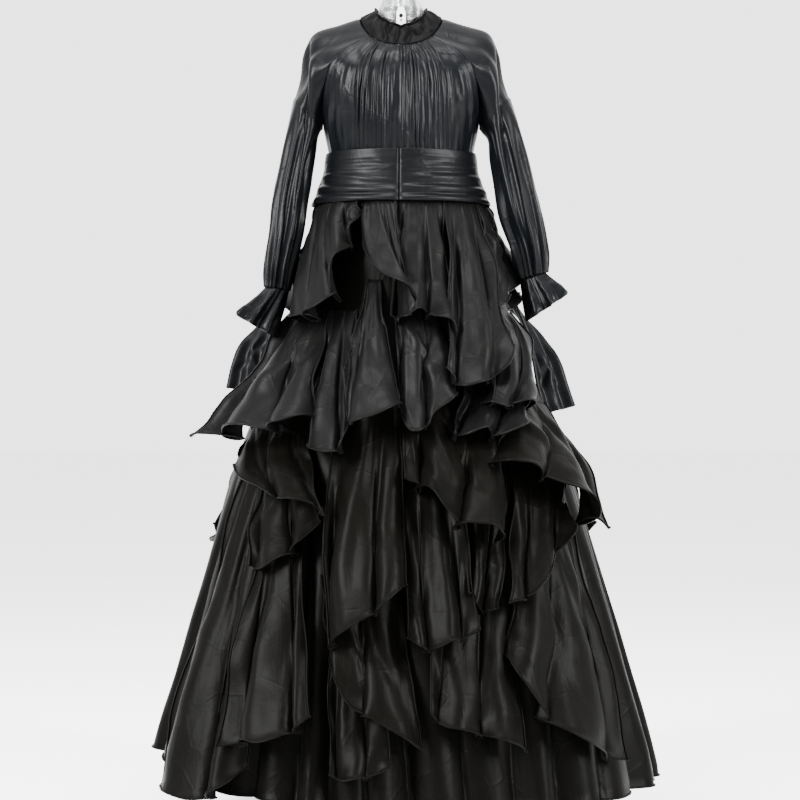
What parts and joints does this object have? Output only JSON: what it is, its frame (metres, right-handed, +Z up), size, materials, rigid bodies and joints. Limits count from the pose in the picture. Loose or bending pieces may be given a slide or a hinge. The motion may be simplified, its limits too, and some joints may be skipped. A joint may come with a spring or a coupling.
{
  "type": "maxi dress on a limbless dress form",
  "caption": "Long-sleeved satin maxi dress with a stand collar, gathered bodice, pleated sash and cascading flounces, on a clear limbless form with a foot.",
  "frame": {"origin": "centre of the foot's underside, on the floor", "axes": "+Z up along the post; the dress faces -Y; the dress's own left is +X"},
  "size_m": [0.9674, 0.8637, 1.6],
  "materials": {
    "bodice_satin": "glossy blue-black satin",
    "skirt_satin": "softly shining black satin",
    "collar_satin": "matt back of black satin",
    "clear_plastic": "clear, glossy",
    "steel": "satin"
  },
  "bodies": {
    "root": {"bodice_front": "bodice_satin", "bodice_back": "bodice_satin", "sleeve_left": "bodice_satin", "sleeve_right": "bodice_satin", "cuff_left": "bodice_satin", "cuff_right": "bodice_satin", "sash_left": "bodice_satin", "sash_right": "bodice_satin", "sash_back": "bodice_satin", "sash_knot": "bodice_satin", "tail_left": "skirt_satin", "tail_right": "skirt_satin", "underskirt_front": "skirt_satin", "underskirt_back": "skirt_satin", "flounce_waist_1": "skirt_satin", "flounce_waist_2": "skirt_satin", "flounce_waist_3": "skirt_satin", "flounce_waist_4": "skirt_satin", "flounce_waist_5": "skirt_satin", "flounce_hip_1": "skirt_satin", "flounce_hip_2": "skirt_satin", "flounce_hip_3": "skirt_satin", "flounce_hip_4": "skirt_satin", "flounce_hip_5": "skirt_satin", "flounce_hip_6": "skirt_satin", "flounce_knee_1": "skirt_satin", "flounce_knee_2": "skirt_satin", "flounce_knee_3": "skirt_satin", "flounce_knee_4": "skirt_satin", "flounce_knee_5": "skirt_satin", "flounce_knee_6": "skirt_satin", "flounce_knee_7": "skirt_satin", "flounce_hem_1": "skirt_satin", "flounce_hem_2": "skirt_satin", "flounce_hem_3": "skirt_satin", "flounce_hem_4": "skirt_satin", "flounce_hem_5": "skirt_satin", "flounce_hem_6": "skirt_satin", "flounce_hem_7": "skirt_satin", "flounce_back_waist_1": "skirt_satin", "flounce_back_waist_2": "skirt_satin", "flounce_back_waist_3": "skirt_satin", "flounce_back_waist_4": "skirt_satin", "flounce_back_hip_1": "skirt_satin", "flounce_back_hip_2": "skirt_satin", "flounce_back_knee_1": "skirt_satin", "flounce_back_knee_2": "skirt_satin", "flounce_back_knee_3": "skirt_satin", "flounce_back_hem_1": "skirt_satin", "flounce_back_hem_2": "skirt_satin", "flounce_back_hem_3": "skirt_satin", "collar": "collar_satin", "form_shell": "clear_plastic", "form_tab": "clear_plastic", "form_post": "steel", "form_foot": "steel"}
  },
  "joints": []
}
